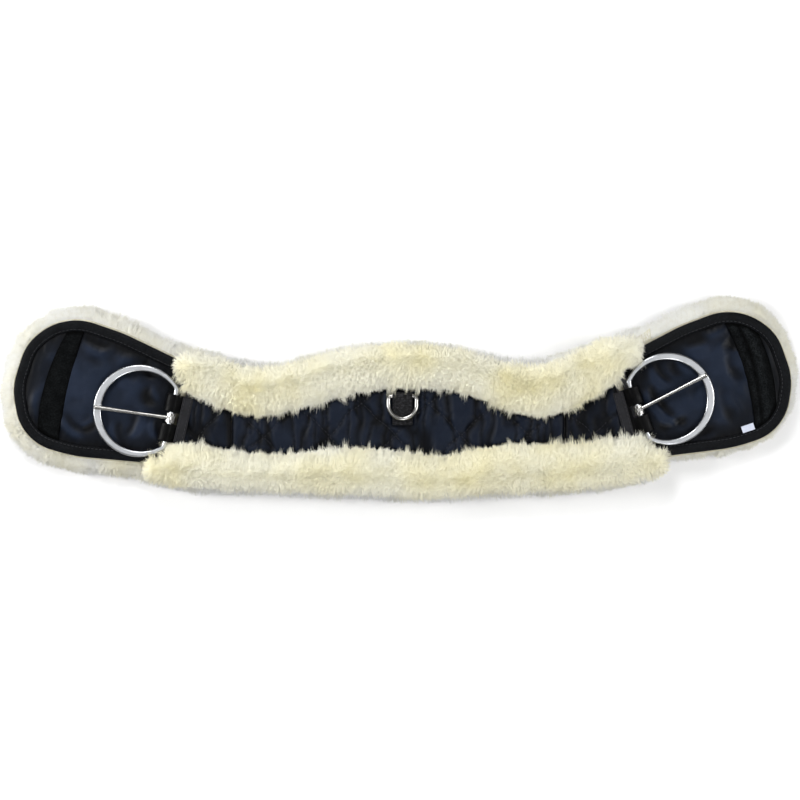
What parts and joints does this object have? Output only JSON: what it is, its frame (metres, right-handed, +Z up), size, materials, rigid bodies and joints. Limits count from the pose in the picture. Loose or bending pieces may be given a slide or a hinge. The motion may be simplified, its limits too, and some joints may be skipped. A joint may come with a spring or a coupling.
{
  "type": "saddle girth",
  "caption": "Curved western girth with a fleece lining rolled over both long edges, flared padded ends, a D buckle with a tongue at each end and a small ring in the middle.",
  "frame": {"origin": "middle of the footprint, on the surface that the fleece rests on", "axes": "+X along the girth towards its right buckle, +Y across the girth towards its concave edge, +Z up out of the navy side, with the fleece side down"},
  "size_m": [0.7929, 0.1978, 0.0353],
  "materials": {
    "sheepskin": "dense cream wool pile",
    "hide": "tanned cream hide",
    "foam": "soft closed-cell foam",
    "webbing": "coarse black webbing",
    "polished_steel": "polished stainless steel",
    "satin_steel": "satin stainless steel with polished edges",
    "thread": "black polyester thread",
    "label": "white woven tape",
    "quilted_cotton": "navy quilted cotton",
    "nylon": "smooth navy nylon",
    "binding": "black ribbed binding tape",
    "elastic": "black brushed elastic",
    "strap_leather": "black harness leather",
    "strip_leather": "dark grey leather with a grain"
  },
  "bodies": {
    "girth": {"fleece_lining": "sheepskin", "fleece_roll_upper": "sheepskin", "fleece_roll_lower": "sheepskin", "lining_hide": "hide", "core_foam": "foam", "core_webbing": "webbing", "center_ring_tab": "webbing", "center_tab_stitches": "thread", "quilting_stitches": "thread", "size_label": "label", "quilted_panel_left": "quilted_cotton", "quilted_panel_center": "quilted_cotton", "quilted_panel_right": "quilted_cotton", "pad_foam_left": "foam", "pad_cover_left": "nylon", "pad_binding_left": "binding", "binding_stitches_left": "thread", "elastic_keeper_left": "elastic", "buckle_strap_left": "strap_leather", "strap_strip_left": "strip_leather", "strip_stitches_left": "thread", "pad_foam_right": "foam", "pad_cover_right": "nylon", "pad_binding_right": "binding", "binding_stitches_right": "thread", "elastic_keeper_right": "elastic", "buckle_strap_right": "strap_leather", "strap_strip_right": "strip_leather", "strip_stitches_right": "thread"},
    "left_buckle": {"buckle_frame_left": "satin_steel"},
    "left_tongue": {"buckle_tongue_left": "polished_steel"},
    "right_buckle": {"buckle_frame_right": "satin_steel"},
    "right_tongue": {"buckle_tongue_right": "polished_steel"},
    "center_ring": {"center_ring": "polished_steel"}
  },
  "joints": [
    {"name": "left_buckle_pivot", "type": "hinge", "parent": "girth", "child": "left_buckle", "pos_m": [-0.2305, -0.018, 0.025], "axis": [0.225, 0.9744, 0], "range_deg": [0, 95]},
    {"name": "left_tongue_pivot", "type": "hinge", "parent": "left_buckle", "child": "left_tongue", "pos_m": [-0.2305, -0.018, 0.025], "axis": [0.225, 0.9744, 0], "range_deg": [0, 60]},
    {"name": "right_buckle_pivot", "type": "hinge", "parent": "girth", "child": "right_buckle", "pos_m": [0.2375, -0.01, 0.025], "axis": [0.3469, -0.9379, 0], "range_deg": [0, 95]},
    {"name": "right_tongue_pivot", "type": "hinge", "parent": "right_buckle", "child": "right_tongue", "pos_m": [0.2375, -0.01, 0.025], "axis": [0.3469, -0.9379, 0], "range_deg": [0, 60]},
    {"name": "center_ring_pivot", "type": "hinge", "parent": "girth", "child": "center_ring", "pos_m": [0.0015, 0.004, 0.028], "axis": [-1, 0, 0], "range_deg": [0, 135]}
  ]
}
